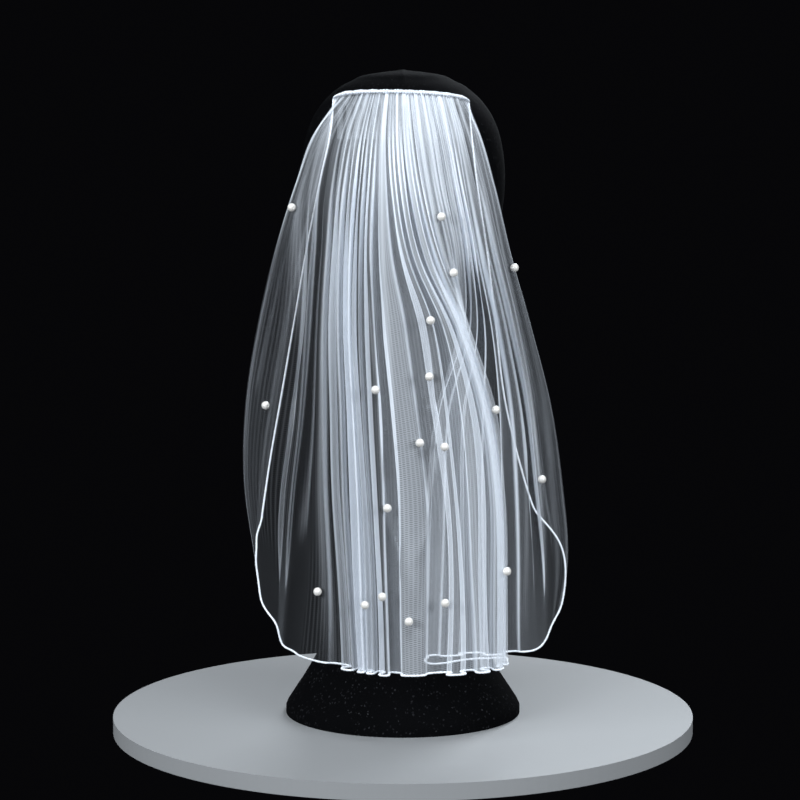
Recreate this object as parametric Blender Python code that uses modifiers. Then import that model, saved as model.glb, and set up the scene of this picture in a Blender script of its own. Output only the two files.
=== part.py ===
"""A short bridal veil with scattered pearls, worn by the display head form that carries it.

Metres, +Z up. The origin is on the floor, at the centre of the form's foot. The veil's back faces -Y, and
the form would look along +Y. Tables are in millimetres, as a maker would measure them.
"""

import math
from collections import namedtuple

import bmesh
import bpy
import numpy as np
from mathutils import Vector
from mathutils.bvhtree import BVHTree

MM = 0.001

# Driving dimensions of the veil
WALL = 1.0 * MM
SEAM_GAP = 0.3 * MM
SEAM_SPREAD = 1.25
COMB_WIDTH = 97.0 * MM
COMB_MIDDLE_X = -1.5 * MM
COMB_HEIGHT = 468.0 * MM
FOLD_COUNT = 24
GATHER_DEPTH = 0.6 * MM
FOLDS_OPEN_OVER = 165.0 * MM
WANDER = 0.07
WANDER_LENGTH = 260.0 * MM
TURN_REACH = 0.8
DEEPEST_FOLD = 0.62

# How finely the wall is divided
POINTS_PER_FOLD = 8
ROWS = 15
ROW_CROWDING = 1.25

# Trim
CORD_RADIUS = 0.75 * MM
CORD_GAP = 0.5 * MM
PEARL_RADIUS = 3.1 * MM
SEAT_SLACK = 0.03 * MM
NEARER_COUNTS = 0.15
HEADING_GAP = 0.5 * MM
HEADING_DEPTH = 5.6 * MM
HEADING_HEIGHT = 3.2 * MM
COMB_TEETH = 15
COMB_BAR_HEIGHT = 5.0 * MM
COMB_TOOTH_LENGTH = 24.0 * MM
COMB_THICKNESS = 1.6 * MM
COMB_OFF_FORM = 1.3 * MM

# The display form
FORM_SIDES = 32
FORM_RINGS = 25

# The form's level sections: height, half its width, and how far it reaches to the back and to the front
FormRing = namedtuple("FormRing", "height half_width back front")
FORM = (
    FormRing(0, 89, 89, 89),
    FormRing(5, 89, 89, 89),
    FormRing(13, 84.5, 84.5, 84.5),
    FormRing(26, 76, 76, 76),
    FormRing(43, 66, 66, 66),
    FormRing(60, 56.5, 56.5, 56.5),
    FormRing(80, 49.5, 49.5, 49.5),
    FormRing(105, 46, 46, 46),
    FormRing(170, 45, 45, 45),
    FormRing(235, 46, 46, 47),
    FormRing(262, 48.5, 49, 55),
    FormRing(280, 52, 54, 72),
    FormRing(300, 57, 63, 83),
    FormRing(320, 62, 73, 88),
    FormRing(345, 68, 84, 91),
    FormRing(375, 73.5, 93.5, 93.5),
    FormRing(402, 76, 96, 93),
    FormRing(428, 74, 92.5, 89),
    FormRing(443, 70, 87, 83),
    FormRing(455, 64, 79.5, 76),
    FormRing(466, 54.7, 68, 65),
    FormRing(476.7, 38.7, 48, 46),
    FormRing(482.5, 21.5, 27, 26),
)
FORM_TOP = 485.0 * MM

# Lines that run down the cloth from comb to hem. A lane counts folds from the left free edge, and x and y
# say where the line hangs at each of the heights.
HEIGHTS = (468, 441, 404, 353, 300, 240, 180, 120, 55)
Guide = namedtuple("Guide", "name lane x y")
GUIDES = (
    Guide("left edge", 0,
          (-50, -52, -60, -71, -81, -92, -102.5, -109.5, -108),
          (-49, -66, -66, -32, -6, 8, 8, -6, -16)),
    Guide("left roll, far", 1.6,
          (-43.5, -61.5, -76.5, -92.5, -105.5, -115.5, -118, -111, -102),
          (-54.5, -64, -55.5, -41, -25, -14, -11, -15, -24)),
    Guide("left roll, near", 2.4,
          (-40.5, -62.5, -77, -93.5, -106.5, -116.5, -118.5, -110.5, -101),
          (-57.5, -68, -61.5, -51, -39, -30, -26, -26, -32)),
    Guide("left pleat", 3.5,
          (-36, -52, -62, -66, -70, -76, -83, -87, -92),
          (-61, -77, -80, -80, -80, -76, -70, -62, -44)),
    Guide("back, left", 5,
          (-30, -40, -47, -51, -53, -52, -51, -48, -45),
          (-67, -86, -92, -96, -97, -97, -97, -97, -97)),
    Guide("back, middle", 9,
          (-13.6, -17, -19, -20, -18, -14, -10, -8, -7),
          (-74, -95, -106, -110, -112, -114, -116, -118, -119)),
    Guide("front layer, right", 13.5,
          (4.6, 7, 12, 24, 46, 65, 72, 74, 75),
          (-75.5, -96, -107, -112.5, -112, -105, -101, -96, -91)),
    Guide("middle layer, right", 14.5,
          (8.6, 12, 18, 29.5, 48, 67, 73, 75, 76),
          (-75.5, -96, -106.5, -110, -103, -89, -84, -79, -74)),
    Guide("middle layer, left", 16.5,
          (16.7, 22, 28, 38, 39, 25, 19, 17.5, 17),
          (-73, -94, -104, -103.5, -93, -92, -91, -90, -89)),
    Guide("back layer, left", 17.5,
          (20.7, 26, 33, 42, 43, 25, 19, 17.5, 17),
          (-71, -91, -101, -99, -83, -76, -73, -72, -71)),
    Guide("back layer, right", 20,
          (30.8, 38, 45, 55, 66, 74, 78, 80, 80),
          (-66, -86, -95, -93, -82, -67, -59, -52, -49)),
    Guide("right pleat", 21.5,
          (37, 46, 56, 67, 80, 93, 100, 106, 108),
          (-61, -79, -83, -78, -68, -56, -48, -42, -38)),
    Guide("right roll, near", 22.2,
          (39.5, 53.5, 64.5, 77.5, 92.5, 108.5, 118, 123, 111.5),
          (-58.5, -72, -74, -65.5, -54.5, -43, -36, -31, -33)),
    Guide("right roll, far", 23,
          (43, 53.5, 65, 77.5, 92.5, 108.5, 118, 122.5, 114),
          (-55.5, -69, -69.5, -60, -46, -33, -25, -22, -26)),
    Guide("right edge", 24,
          (47, 49, 53, 61, 68, 76, 91, 110, 120),
          (-52, -67, -74.5, -63, -43, -24, -10, -8, -16)),
)

# The stretches of the net that are solids of their own, from one lane to another
Stretch = namedtuple("Stretch", "name first last")
STRETCHES = (
    Stretch("veil_left_edge", 0, 2),
    Stretch("veil_left_wing", 2, 5),
    Stretch("veil_back", 5, 14),
    Stretch("veil_overlap", 14, 17),
    Stretch("veil_right_wing", 17, 22.5),
    Stretch("veil_right_edge", 22.5, FOLD_COUNT),
)

# Where the whole cloth turns back on itself: how far below the comb the folds start to give way there, and
# over what distance.
Turn = namedtuple("Turn", "lane start over")
TURNS = (
    Turn(2, 0, 24),
    Turn(3.5, 310, 80),
    Turn(14, 90, 70),
    Turn(17, 90, 70),
    Turn(21.5, 310, 80),
    Turn(22.6, 0, 24),
)

# One row for each fold, from left to right: its share of the room between two guides, how deep it stands in
# millimetres, and, as shares of its width, how far its sides tuck under its face and how far it leans right.
Fold = namedtuple("Fold", "share depth tuck lean")
FOLDS = (
    Fold(1.0, 1.0, 0.00, 0.00),
    Fold(1.0, 0.8, 0.00, 0.00),
    Fold(1.6, 1.6, 0.00, 0.00),
    Fold(0.5, 4.6, 0.14, -0.05),
    Fold(1.6, 3.4, 0.06, 0.04),
    Fold(1.1, 6.4, 0.17, -0.07),
    Fold(0.9, 5.8, 0.17, 0.05),
    Fold(0.9, 5.6, 0.17, -0.05),
    Fold(1.1, 7.0, 0.17, 0.06),
    Fold(2.1, 4.6, 0.08, -0.04),
    Fold(0.8, 5.8, 0.18, -0.07),
    Fold(0.9, 6.6, 0.17, 0.08),
    Fold(0.8, 5.6, 0.18, -0.05),
    Fold(1.0, 3.6, 0.10, 0.02),
    Fold(1.0, 1.5, 0.00, 0.00),
    Fold(1.1, 2.6, 0.05, -0.03),
    Fold(0.9, 1.5, 0.00, 0.00),
    Fold(1.0, 2.6, 0.05, 0.03),
    Fold(1.0, 4.4, 0.13, 0.06),
    Fold(1.0, 4.4, 0.12, -0.05),
    Fold(1.5, 3.2, 0.04, 0.00),
    Fold(0.5, 4.2, 0.12, 0.05),
    Fold(1.0, 1.0, 0.00, 0.00),
    Fold(1.0, 1.0, 0.00, 0.00),
)

# The cut: how high each lane's lower end hangs. The corners are rounded, so it climbs to the free edges.
Lower = namedtuple("Lower", "lane height")
CUT = (
    Lower(0, 146),
    Lower(1, 127),
    Lower(2, 103),
    Lower(2.6, 87),
    Lower(3.1, 73),
    Lower(3.6, 63),
    Lower(4.2, 57.5),
    Lower(5, 55.5),
    Lower(8, 54),
    Lower(12, 55),
    Lower(16, 56),
    Lower(19, 55),
    Lower(20, 55),
    Lower(20.8, 57),
    Lower(21.4, 64),
    Lower(21.9, 75),
    Lower(22.5, 93),
    Lower(23.2, 122),
    Lower(24, 156),
)

# Pearls: where each is sewn on the outside of the net
Pearl = namedtuple("Pearl", "x height")
PEARLS = (
    Pearl(-80.5, 385.5),
    Pearl(27, 381),
    Pearl(80.7, 342),
    Pearl(36, 341),
    Pearl(20, 308.5),
    Pearl(18, 269.5),
    Pearl(-19.5, 259),
    Pearl(66.5, 243.5),
    Pearl(-101, 241),
    Pearl(12.5, 221.5),
    Pearl(29.5, 219.5),
    Pearl(102, 186),
    Pearl(-11, 174.5),
    Pearl(75, 127.5),
    Pearl(-15.5, 111.5),
    Pearl(-62.5, 109.5),
    Pearl(30.5, 107),
    Pearl(-27.5, 104.5),
    Pearl(4.5, 94),
)


def smooth_curve(knots, values, at, steady=False):
    """The value at each place of `at`, on a smooth curve through the values given at the knots.

    A steady curve is for values that only rise, and never swings past one of them.
    """
    last = len(knots) - 1
    steps = [knots[k + 1] - knots[k] for k in range(last)]
    rises = [(values[k + 1] - values[k]) / steps[k] for k in range(last)]
    slopes = [rises[0]]
    for k in range(1, last):
        if steady:
            slopes.append(2 * rises[k - 1] * rises[k] / (rises[k - 1] + rises[k]))
        else:
            weighted = rises[k - 1] * steps[k] + rises[k] * steps[k - 1]
            slopes.append(weighted / (steps[k - 1] + steps[k]))
    slopes.append(rises[-1])
    at = np.clip(at, knots[0], knots[-1])
    result = np.zeros_like(at)
    for k in range(last):
        t = np.clip((at - knots[k]) / steps[k], 0.0, 1.0)
        curve = (
            (1 + 2 * t) * (1 - t) ** 2 * values[k]
            + t * (1 - t) ** 2 * steps[k] * slopes[k]
            + t * t * (3 - 2 * t) * values[k + 1]
            + t * t * (t - 1) * steps[k] * slopes[k + 1]
        )
        inside = (at >= knots[k]) & (at <= knots[k + 1])
        result = np.where(inside, curve, result)
    return result


def ease(t):
    """0 to 1, leaving and arriving slowly."""
    t = np.clip(t, 0.0, 1.0)
    return t * t * (3 - 2 * t)


def column(table, field):
    return [float(getattr(row, field)) for row in table]


def form_section(height):
    """Half width, back and front reach of the form at a height, in metres."""
    heights = column(FORM, "height") + [FORM_TOP / MM]
    at = np.array([height / MM])
    reach = []
    for field in ("half_width", "back", "front"):
        values = column(FORM, field) + [0.0]
        reach.append(float(smooth_curve(heights, values, at)[0]) * MM)
    return reach


def top_height(lane):
    """The gathered edge: nearly level, a little lower on the right, and dropping at both ends."""
    across = lane / FOLD_COUNT * 2 - 1
    slope = 2.6 * MM * np.clip(across, 0.0, 1.0)
    ends = 4.5 * MM * np.abs(across) ** 5
    return COMB_HEIGHT - slope - ends


def lower_height(lane):
    return smooth_curve(column(CUT, "lane"), column(CUT, "height"), lane) * MM


def hem_lane(lane):
    """Where a lane lies among the guides at the hem, where each fold takes its own share of the room."""
    places = [guide.lane for guide in GUIDES]
    edges = np.arange(FOLD_COUNT + 1, dtype=float)
    used = np.concatenate([[0.0], np.cumsum(column(FOLDS, "share"))])
    at_lane = np.interp(lane, edges, used)
    at_place = np.interp(places, edges, used)
    return np.interp(at_lane, at_place, places)


def hang(lane, height):
    """How far the folds have opened at a height, from 0 at the comb to 1."""
    return ease((top_height(lane) - height) / FOLDS_OPEN_OVER)


def spine(lane, height):
    """The line that the folds swing about, seen from above: x and y in metres."""
    drop = HEIGHTS[0] - height / MM
    drops = [HEIGHTS[0] - level for level in HEIGHTS]
    lanes = [guide.lane for guide in GUIDES]
    xs = [smooth_curve(drops, guide.x, drop) for guide in GUIDES]
    ys = [smooth_curve(drops, guide.y, drop) for guide in GUIDES]
    run = [np.zeros_like(drop)]
    for k in range(len(GUIDES) - 1):
        run.append(run[-1] + np.hypot(xs[k + 1] - xs[k], ys[k + 1] - ys[k]))
    along = smooth_curve(lanes, run, lane, steady=True)
    return smooth_curve(run, xs, along) * MM, smooth_curve(run, ys, along) * MM


def spread(lane, height):
    """The lane's place on the spine: even at the comb, by each fold's share lower down, and never straight."""
    opened = hang(lane, height)
    place = lane + (hem_lane(lane) - lane) * opened
    inside = np.sin(math.pi * np.clip(lane / FOLD_COUNT, 0.0, 1.0))
    swing = np.sin(2.3 * lane + 2 * math.pi * height / WANDER_LENGTH)
    return place + WANDER * opened * inside * swing


def quiet(lane, height):
    """1 where folds swing freely, and 0 where the whole cloth turns back on itself."""
    drop = (top_height(lane) - height) / MM
    calm = 1.0
    for turn in TURNS:
        settled = ease((drop - turn.start) / turn.over)
        calm = calm * (1 - settled * np.exp(-(((lane - turn.lane) / TURN_REACH) ** 2)))
    return calm


def sheet_point(lane, height):
    """A point in the middle of the net's thickness, for arrays of lanes and heights."""
    place = spread(lane, height)
    nudge = 0.02
    x, y = spine(place, height)
    x0, y0 = spine(place - nudge, height)
    x1, y1 = spine(place + nudge, height)
    along = np.hypot(x1 - x0, y1 - y0)
    tx = (x1 - x0) / along
    ty = (y1 - y0) / along
    left_x, left_y = spine(spread(lane - 0.5, height), height)
    right_x, right_y = spine(spread(lane + 0.5, height), height)
    before = np.hypot(x - left_x, y - left_y)
    after = np.hypot(right_x - x, right_y - y)
    room = 4 * before * after / (before + after)

    crests = np.arange(FOLD_COUNT) + 0.5
    opened = hang(lane, height)
    calm = quiet(lane, height)
    phase = 2 * math.pi * (lane - 0.5)
    depth = np.interp(lane, crests, column(FOLDS, "depth")) * MM
    depth = GATHER_DEPTH + (depth - GATHER_DEPTH) * opened
    depth = calm * np.minimum(depth, DEEPEST_FOLD * room)
    tuck = calm * np.interp(lane, crests, column(FOLDS, "tuck")) * room * opened
    lean = calm * np.interp(lane, crests, column(FOLDS, "lean")) * room * opened
    sideways = tuck * np.sin(2 * phase) + lean * np.cos(phase)
    outwards = depth * np.cos(phase)
    return np.stack([x + tx * sideways + ty * outwards, y + ty * sideways - tx * outwards, height], axis=-1)


def row_heights(lane, fractions):
    """Heights down a lane for fractions from 0 at the comb to 1 at the hem."""
    top = top_height(lane)
    return top + (lower_height(lane) - top) * fractions


def outward(lane, height):
    """The net's outward normal at arrays of lanes and heights."""
    du = 0.01
    dh = 0.4 * MM
    across = sheet_point(lane + du, height) - sheet_point(lane - du, height)
    down = sheet_point(lane, height - dh) - sheet_point(lane, height + dh)
    normal = np.cross(down, across)
    return normal / np.linalg.norm(normal, axis=-1, keepdims=True)


def material(name, colour, roughness, metallic=0.0, alpha=1.0):
    made = bpy.data.materials.new(name)
    made.use_nodes = True
    shader = made.node_tree.nodes["Principled BSDF"]
    shader.inputs["Base Color"].default_value = (*colour, 1.0)
    shader.inputs["Roughness"].default_value = roughness
    shader.inputs["Metallic"].default_value = metallic
    shader.inputs["Alpha"].default_value = alpha
    return made


def add_object(name, mesh, look, collection):
    mesh.materials.append(look)
    made = bpy.data.objects.new(name, mesh)
    collection.objects.link(made)
    return made


def mesh_from(bm, name, smooth=True):
    mesh = bpy.data.meshes.new(name)
    bm.to_mesh(mesh)
    bm.free()
    if smooth:
        mesh.shade_smooth()
    return mesh


def loft(bm, sections, close_round=True):
    """Quads between neighbouring sections, each a list of as many vertices."""
    for upper, lower in zip(sections, sections[1:]):
        count = len(upper)
        for k in range(count if close_round else count - 1):
            j = (k + 1) % count
            bm.faces.new((upper[k], lower[k], lower[j], upper[j]))


def seam_share(lane, fractions):
    """Half the gap at a seam, as a part of a fold, at fractions of the way down the lane."""
    nudge = 0.02
    height = row_heights(lane, fractions)
    across = sheet_point(lane + nudge, height) - sheet_point(lane - nudge, height)
    return SEAM_SPREAD * SEAM_GAP / 2 * 2 * nudge / np.linalg.norm(across, axis=-1)


def row_fractions():
    """How far down the net each row of points lies, closer together near the comb."""
    return (np.arange(ROWS) / (ROWS - 1)) ** ROW_CROWDING


def net_stretch(name, first, last, look, collection):
    """One stretch of the net, as a closed wall between two lanes."""
    count = round((last - first) * POINTS_PER_FOLD) + 1
    lanes = np.linspace(first, last, count)
    fractions = row_fractions()
    grid_lane = np.tile(lanes, (ROWS, 1))
    if first > 0:
        grid_lane[:, 0] += seam_share(grid_lane[:, 0], fractions)
    if last < FOLD_COUNT:
        grid_lane[:, -1] -= seam_share(grid_lane[:, -1], fractions)
    grid_height = row_heights(grid_lane, fractions[:, None])
    middle = sheet_point(grid_lane, grid_height)
    normal = outward(grid_lane, grid_height)
    half = WALL / 2
    bm = bmesh.new()
    rings = []
    for row in range(ROWS):
        outer = [bm.verts.new(p) for p in middle[row] + half * normal[row]]
        inner = [bm.verts.new(p) for p in middle[row] - half * normal[row]]
        rings.append(outer + inner[::-1])
    loft(bm, rings)
    for ring, turned in ((rings[0], True), (rings[-1], False)):
        for k in range(count - 1):
            face = (ring[k], ring[k + 1], ring[-k - 2], ring[-k - 1])
            bm.faces.new(face[::-1] if turned else face)
    bmesh.ops.recalc_face_normals(bm, faces=bm.faces)
    return add_object(name, mesh_from(bm, name), look, collection)


def tube(name, points, radius, sides_resolution, look, collection):
    """A round cord along the points, as a curve with filled caps."""
    curve = bpy.data.curves.new(name, "CURVE")
    curve.dimensions = "3D"
    curve.bevel_depth = radius
    curve.bevel_resolution = sides_resolution
    curve.use_fill_caps = True
    line = curve.splines.new("POLY")
    line.points.add(len(points) - 1)
    for k, point in enumerate(points):
        line.points[k].co = (*point, 1.0)
    return add_object(name, curve, look, collection)


def edge_points():
    """The middle of the corded edge: down the left free edge, along the hem and up the right one."""
    rows = row_fractions()
    lanes = np.linspace(0, FOLD_COUNT, FOLD_COUNT * POINTS_PER_FOLD + 1)
    left = np.zeros(ROWS)
    right = np.full(ROWS, float(FOLD_COUNT))
    lane = np.concatenate([left[1:-1], lanes, right[1:-1]])
    part = np.concatenate([rows[1:-1], np.ones_like(lanes), rows[1:-1][::-1]])
    here = sheet_point(lane, row_heights(lane, part))
    inner_lane = np.clip(lane, 1 / POINTS_PER_FOLD, FOLD_COUNT - 1 / POINTS_PER_FOLD)
    inner_part = np.where(part < 1, part, 1 - 2 * MM / (top_height(lane) - lower_height(lane)))
    inner = sheet_point(inner_lane, row_heights(inner_lane, inner_part))
    along = np.gradient(here, axis=0)
    along = along / np.linalg.norm(along, axis=1, keepdims=True)
    away = here - inner
    away = away - along * np.sum(away * along, axis=1, keepdims=True)
    away = away / np.linalg.norm(away, axis=1, keepdims=True)
    return here + (CORD_RADIUS + CORD_GAP) * away


def form_point(x, height, off=0.0):
    """A point on the back of the form at x and a height, moved off it along its normal."""

    def back(x_at, height_at):
        half_width, reach, _ = form_section(height_at)
        return -reach * math.sqrt(max(0.0, 1 - (x_at / half_width) ** 2))

    step = 0.2 * MM
    here = np.array([x, back(x, height), height])
    side = np.array([2 * step, back(x + step, height) - back(x - step, height), 0.0])
    up = np.array([0.0, back(x, height + step) - back(x, height - step), 2 * step])
    normal = np.cross(side, up)
    normal = normal / np.linalg.norm(normal)
    return here + off * normal


def head_form(look, collection):
    rim = FORM[1].height * MM
    crown = FORM_TOP - 0.6 * MM
    levels = [0.0]
    for t in np.linspace(0.0, 1.0, FORM_RINGS):
        levels.append(rim + (crown - rim) * math.sin(t * math.pi / 2) ** 1.15)
    bm = bmesh.new()
    rings = []
    for level in levels:
        half_width, back, front = form_section(level)
        ring = []
        for k in range(FORM_SIDES):
            angle = 2 * math.pi * k / FORM_SIDES
            reach = front if math.sin(angle) > 0 else back
            ring.append(bm.verts.new((half_width * math.cos(angle), reach * math.sin(angle), level)))
        rings.append(ring)
    loft(bm, rings)
    bm.faces.new(rings[0])
    bm.faces.new(rings[-1])
    bmesh.ops.recalc_face_normals(bm, faces=bm.faces)
    return add_object("head_form", mesh_from(bm, "head_form"), look, collection)


def comb(look, collection):
    """A bar with teeth, curved to the form: an open sheet that Solidify makes thick."""
    columns = 2 * COMB_TEETH - 1
    width = COMB_WIDTH - 8 * MM
    bar_top = COMB_HEIGHT - 4.5 * MM
    bar_low = bar_top - COMB_BAR_HEIGHT
    levels = [bar_top, bar_low]
    for step in range(1, 4):
        levels.append(bar_low - COMB_TOOTH_LENGTH * step / 3)
    bm = bmesh.new()
    grid = []
    for row, level in enumerate(levels):
        line = []
        for k in range(columns + 1):
            x = COMB_MIDDLE_X + width * (k / columns - 0.5)
            line.append(bm.verts.new(form_point(x, level, COMB_OFF_FORM)))
        grid.append(line)
    for row in range(len(levels) - 1):
        for k in range(columns):
            if row == 0 or k % 2 == 0:
                corners = (grid[row][k], grid[row][k + 1], grid[row + 1][k + 1], grid[row + 1][k])
                bm.faces.new(corners[::-1])
    loose = [v for v in bm.verts if not v.link_faces]
    bmesh.ops.delete(bm, geom=loose, context="VERTS")
    made = add_object("comb", mesh_from(bm, "comb", smooth=False), look, collection)
    thick = made.modifiers.new("thickness", "SOLIDIFY")
    thick.thickness = COMB_THICKNESS
    thick.offset = 0.0
    return made


def heading(look, collection):
    """The roll of whipped gathers on top of the net's gathered edge, as bumpy as the gathers are."""
    steps = 2 * FOLD_COUNT + 1
    lanes = np.linspace(0.0, FOLD_COUNT, steps)
    low = top_height(lanes) + HEADING_GAP
    xs, ys = spine(lanes, top_height(lanes))
    across_x = -np.gradient(ys)
    across_y = np.gradient(xs)
    length = np.hypot(across_x, across_y)
    across_x = across_x / length
    across_y = across_y / length
    bm = bmesh.new()
    rings = []
    for k in range(steps):
        swell = 1.0 + 0.12 * math.cos(math.pi * k)
        end = min(1.0, 0.55 + 0.25 * min(k, steps - 1 - k))
        half = HEADING_DEPTH / 2 * end
        rise = HEADING_HEIGHT * swell * end
        ring = []
        for out, up in ((-1.0, 0.0), (-1.12, 0.45), (-0.55, 0.95), (0.55, 0.95), (1.12, 0.45), (1.0, 0.0)):
            x = xs[k] + across_x[k] * half * out
            y = ys[k] + across_y[k] * half * out
            ring.append(bm.verts.new((x, y, low[k] + rise * up)))
        rings.append(ring)
    loft(bm, rings)
    bm.faces.new(rings[0])
    bm.faces.new(rings[-1])
    bmesh.ops.recalc_face_normals(bm, faces=bm.faces)
    return add_object("heading", mesh_from(bm, "heading"), look, collection)


def seat(cloth, centre, reach):
    """Where a ball at the centre comes to rest a set reach from the cloth, the way it faces, and its distance."""
    for _ in range(6):
        near = cloth.find_nearest(centre)[0]
        away = (centre - near).normalized()
        centre = near + reach * away
    return centre, away, cloth.find_nearest(centre)[3]


def pearl_places(cloth):
    """Each pearl's centre and the way it faces: on the outside of the net, as near its stated place as it fits."""
    lanes = np.linspace(0.1, FOLD_COUNT - 0.1, 1400)
    reach = PEARL_RADIUS + SEAM_GAP
    places = []
    for pearl in PEARLS:
        height = np.full_like(lanes, pearl.height * MM)
        held = lower_height(lanes) + PEARL_RADIUS < height
        here = sheet_point(lanes, height)
        normal = outward(lanes, height)
        centres = here + (WALL / 2 + reach) * normal
        wanted = normal[:, 1] < -0.35
        order = np.argsort(np.abs(centres[:, 0] - pearl.x * MM) + NEARER_COUNTS * centres[:, 1])
        for k in order:
            if not (wanted[k] and held[k]):
                continue
            centre, facing, distance = seat(cloth, Vector(centres[k]), reach)
            taken = [(centre - other).length < 2 * reach for other, _ in places]
            moved = (centre - Vector(centres[k])).length
            if distance > reach - SEAT_SLACK and moved < PEARL_RADIUS and not any(taken):
                places.append((centre, facing))
                break
    return places


def pearls(nets, look, collection):
    corners = []
    faces = []
    for net in nets:
        first = len(corners)
        corners.extend(vertex.co for vertex in net.data.vertices)
        faces.extend([first + k for k in face.vertices] for face in net.data.polygons)
    cloth = BVHTree.FromPolygons(corners, faces)
    for number, (centre, facing) in enumerate(pearl_places(cloth), start=1):
        name = f"pearl_{number:02d}"
        turned = facing.to_track_quat("Z", "Y").to_matrix().to_4x4()
        bm = bmesh.new()
        bmesh.ops.create_uvsphere(bm, u_segments=8, v_segments=5, radius=PEARL_RADIUS, matrix=turned)
        made = add_object(name, mesh_from(bm, name), look, collection)
        made.location = centre


def clear_scene():
    for thing in list(bpy.data.objects):
        bpy.data.objects.remove(thing, do_unlink=True)


def build():
    clear_scene()
    collection = bpy.data.collections.new("bridal_veil")
    bpy.context.scene.collection.children.link(collection)
    net = material("white_net", (0.86, 0.89, 0.95), 0.55, alpha=0.5)
    cord = material("white_cord", (0.90, 0.91, 0.95), 0.5)
    gathers = material("white_gathers", (0.88, 0.90, 0.95), 0.6)
    plastic = material("clear_plastic", (0.80, 0.82, 0.84), 0.25)
    nacre = material("pearl", (0.93, 0.88, 0.80), 0.18)
    black = material("black_cover", (0.012, 0.012, 0.014), 0.85)

    nets = [net_stretch(row.name, row.first, row.last, net, collection) for row in STRETCHES]
    tube("edge_cord", edge_points(), CORD_RADIUS, 0, cord, collection)
    heading(gathers, collection)
    comb(plastic, collection)
    pearls(nets, nacre, collection)
    head_form(black, collection)


build()
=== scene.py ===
# %% [markdown]
# # A short bridal veil on a display head form
#
# The real thing is one length of soft white tulle, about 0.76 m wide and 0.44 m long with rounded corners.
# Its long edge is gathered on to a comb, a white cord is sewn all round the cut edge, and pearls are
# scattered over it. It hangs from the back of a black display head, and its sides roll round towards the face.
#
# This lesson dresses the measured model of that veil. The net comes first, because every other piece is
# sewn to it, and each cell prints what it made so that a reader can follow along.

# %% Load the measured model
import math
from collections import namedtuple

import bpy
import numpy as np
from mathutils import Matrix, Vector


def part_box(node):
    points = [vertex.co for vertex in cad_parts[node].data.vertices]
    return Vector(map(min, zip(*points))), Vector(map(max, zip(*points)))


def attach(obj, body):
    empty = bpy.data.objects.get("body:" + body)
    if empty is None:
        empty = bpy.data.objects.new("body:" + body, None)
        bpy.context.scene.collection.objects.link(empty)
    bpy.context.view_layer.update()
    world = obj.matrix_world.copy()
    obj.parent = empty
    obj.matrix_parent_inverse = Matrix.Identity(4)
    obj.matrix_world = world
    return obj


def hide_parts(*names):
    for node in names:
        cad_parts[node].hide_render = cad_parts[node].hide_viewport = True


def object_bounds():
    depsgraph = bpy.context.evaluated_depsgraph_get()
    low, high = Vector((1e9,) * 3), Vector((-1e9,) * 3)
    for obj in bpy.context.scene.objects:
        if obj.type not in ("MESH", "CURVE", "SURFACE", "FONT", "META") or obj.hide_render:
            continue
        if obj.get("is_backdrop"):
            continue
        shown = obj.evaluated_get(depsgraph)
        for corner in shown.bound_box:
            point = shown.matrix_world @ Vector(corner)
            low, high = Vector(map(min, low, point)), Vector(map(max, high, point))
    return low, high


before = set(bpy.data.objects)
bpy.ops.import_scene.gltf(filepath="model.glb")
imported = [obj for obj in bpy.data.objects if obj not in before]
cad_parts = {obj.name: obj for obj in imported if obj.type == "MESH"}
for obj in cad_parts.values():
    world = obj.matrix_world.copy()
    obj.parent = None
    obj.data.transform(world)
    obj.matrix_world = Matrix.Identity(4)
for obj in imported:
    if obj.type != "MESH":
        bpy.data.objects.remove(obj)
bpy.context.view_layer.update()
MM = 0.001


# %% [markdown]
# ## Camera
#
# The photograph was taken square to the veil's back, from the height of its comb and a little downwards, with
# a long lens. A camera's place is found from the object: the head form is 152 mm wide, which fixes how far
# away the camera stands once the lens is known.

# %% Camera
CAMERA_PLACE = (-0.0022, -1.974, 0.462)
CAMERA_DOWN = 6.47
LENS = 118.67
SENSOR = 36.0

camera_data = bpy.data.cameras.new("camera")
camera_data.lens = LENS
camera_data.sensor_width = SENSOR
camera = bpy.data.objects.new("camera", camera_data)
camera.location = CAMERA_PLACE
camera.rotation_euler = (math.radians(90 - CAMERA_DOWN), 0, 0)
bpy.context.scene.collection.objects.link(camera)
bpy.context.scene.camera = camera
print("camera", CAMERA_DOWN, "degrees down, lens", LENS)


# %% [markdown]
# ## Helpers for objects
#
# Blender's operators act on whatever is selected, so everything is let go before each new piece. A finished
# piece rides on the body that holds it.

# %% Small helpers
def let_go():
    bpy.ops.object.select_all(action="DESELECT")
    bpy.context.view_layer.objects.active = None


def take(piece):
    let_go()
    piece.select_set(True)
    bpy.context.view_layer.objects.active = piece


def dress(piece, slot, *nodes):
    """Finishes a piece: it rides on the one body, and stands for the nodes that it is made to replace."""
    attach(piece, "root")
    if nodes:
        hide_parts(*nodes)
    triangles = sum(len(face.vertices) - 2 for face in piece.data.polygons)
    print(piece.name, "has", triangles, "triangles")


def sheet_object(name, grid, look, close_round=False):
    """A grid primitive with one vertex for each point of `grid`, moved there point by point."""
    rows, columns = grid.shape[:2]
    let_go()
    bpy.ops.mesh.primitive_grid_add(x_subdivisions=columns - 1, y_subdivisions=rows - 1, size=1)
    made = bpy.context.active_object
    made.name = name
    made.data.name = name
    made.data.vertices.foreach_set("co", grid[::-1].reshape(-1))
    made.data.materials.append(look)
    if close_round:
        merge_close(made)
    made.data.shade_smooth()
    made.data.update()
    return made


def merge_close(piece):
    take(piece)
    bpy.ops.object.mode_set(mode="EDIT")
    bpy.ops.mesh.select_all(action="SELECT")
    bpy.ops.mesh.remove_doubles(threshold=0.00001)
    bpy.ops.mesh.normals_make_consistent(inside=False)
    bpy.ops.object.mode_set(mode="OBJECT")


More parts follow.
